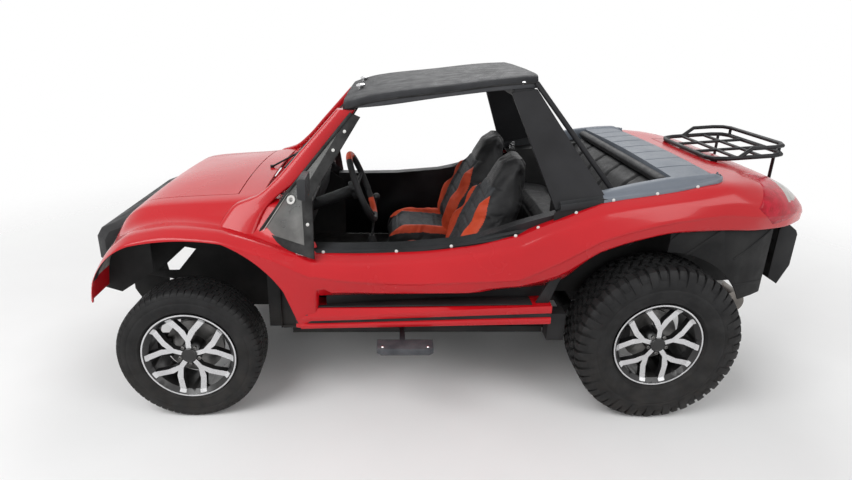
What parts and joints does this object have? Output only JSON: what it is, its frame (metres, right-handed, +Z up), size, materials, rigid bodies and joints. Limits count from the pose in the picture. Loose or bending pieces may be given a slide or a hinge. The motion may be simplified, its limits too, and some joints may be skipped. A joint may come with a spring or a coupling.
{
  "type": "dune buggy",
  "caption": "Doorless dune buggy with a red fibreglass body, targa roof, bucket seats, rear luggage rack, free-rolling wheels and a steered front axle.",
  "frame": {"origin": "middle of the length and width of the whole buggy, on the road", "axes": "+X towards the tail, -X is the nose, -Y is the left side, +Z up"},
  "size_m": [3.32, 1.74, 1.538],
  "materials": {
    "red_paint": "gloss",
    "black_paint": "satin",
    "black_plastic": "matte",
    "deck_plastic": "satin",
    "glass": "clear",
    "clear_vinyl": "hazy",
    "lamp_clear": "clear",
    "lamp_red": "gloss",
    "seat_leather": "satin",
    "roof_vinyl": "grained",
    "engine_metal": "cast",
    "exhaust_steel": "dull",
    "tyre": "matte",
    "alloy": "machined and black"
  },
  "bodies": {
    "chassis": {"cabin_liner": "black_plastic", "dash": "black_plastic", "engine": "engine_metal", "exhaust": "exhaust_steel", "floor_pan": "black_paint", "front_beam": "black_paint", "front_body": "red_paint", "front_bumper": "black_paint", "gear_lever": "black_plastic", "headlamps": "lamp_clear", "inner_fenders": "black_plastic", "mirrors": "black_plastic", "quarter_windows": "clear_vinyl", "rear_axle": "black_paint", "rear_bench": "seat_leather", "rear_body": "red_paint", "rear_bumper": "black_paint", "rear_deck": "deck_plastic", "rear_quarters": "black_plastic", "rear_tub": "black_plastic", "roof": "roof_vinyl", "seats": "seat_leather", "side_bodies": "red_paint", "side_steps": "black_paint", "sill_trims": "black_paint", "steering_column": "black_plastic", "tail_lamps": "lamp_red", "targa_hoop": "black_paint", "windscreen_frame": "red_paint", "windscreen_glass": "glass", "wiper": "black_paint"},
    "bonnet": {"bonnet": "red_paint"},
    "engine_lid": {"engine_lid": "red_paint", "luggage_rack": "black_paint"},
    "steering_wheel": {"steering_wheel": "black_plastic"},
    "knuckle_left": {"knuckle_left": "black_paint"},
    "knuckle_right": {"knuckle_right": "black_paint"},
    "track_rod": {"track_rod": "black_paint"},
    "wheel_front_left": {"tyre_front_left": "tyre", "rim_front_left": "alloy"},
    "wheel_front_right": {"tyre_front_right": "tyre", "rim_front_right": "alloy"},
    "wheel_rear_left": {"tyre_rear_left": "tyre", "rim_rear_left": "alloy"},
    "wheel_rear_right": {"tyre_rear_right": "tyre", "rim_rear_right": "alloy"}
  },
  "joints": [
    {"name": "bonnet_hinge", "type": "hinge", "parent": "chassis", "child": "bonnet", "pos_m": [-0.995, 0, 1.002], "axis": [0, 1, 0], "range_deg": [0, 60]},
    {"name": "engine_lid_hinge", "type": "hinge", "parent": "chassis", "child": "engine_lid", "pos_m": [1.24, 0, 1.134], "axis": [0, -1, 0], "range_deg": [0, 50]},
    {"name": "steering", "type": "hinge", "parent": "chassis", "child": "steering_wheel", "pos_m": [-0.445, -0.3, 0.98], "axis": [0.9317, 0, 0.3633], "range_deg": [-432, 432]},
    {"name": "knuckle_left_turn", "type": "hinge", "parent": "chassis", "child": "knuckle_left", "pos_m": [-1.195, -0.56, 0.317], "axis": [0, 0, 1], "range_deg": [-30, 30]},
    {"name": "knuckle_right_turn", "type": "hinge", "parent": "chassis", "child": "knuckle_right", "pos_m": [-1.195, 0.56, 0.317], "axis": [0, 0, 1], "range_deg": [-30, 30]},
    {"name": "track_rod_swing", "type": "hinge", "parent": "knuckle_left", "child": "track_rod", "pos_m": [-1.065, -0.56, 0.359], "axis": [0, 0, 1], "range_deg": [-30, 30]},
    {"name": "wheel_front_left_spin", "type": "hinge", "parent": "knuckle_left", "child": "wheel_front_left", "pos_m": [-1.195, -0.67, 0.317], "axis": [0, 1, 0], "continuous": true},
    {"name": "wheel_front_right_spin", "type": "hinge", "parent": "knuckle_right", "child": "wheel_front_right", "pos_m": [-1.195, 0.67, 0.317], "axis": [0, 1, 0], "continuous": true},
    {"name": "wheel_rear_left_spin", "type": "hinge", "parent": "chassis", "child": "wheel_rear_left", "pos_m": [0.915, -0.692, 0.384], "axis": [0, 1, 0], "continuous": true},
    {"name": "wheel_rear_right_spin", "type": "hinge", "parent": "chassis", "child": "wheel_rear_right", "pos_m": [0.915, 0.692, 0.384], "axis": [0, 1, 0], "continuous": true}
  ],
  "couplings": [
    {"joint": "knuckle_left_turn", "follows": "steering", "ratio": 0.069444},
    {"joint": "knuckle_right_turn", "follows": "steering", "ratio": 0.069444},
    {"joint": "track_rod_swing", "follows": "steering", "ratio": -0.069444}
  ]
}
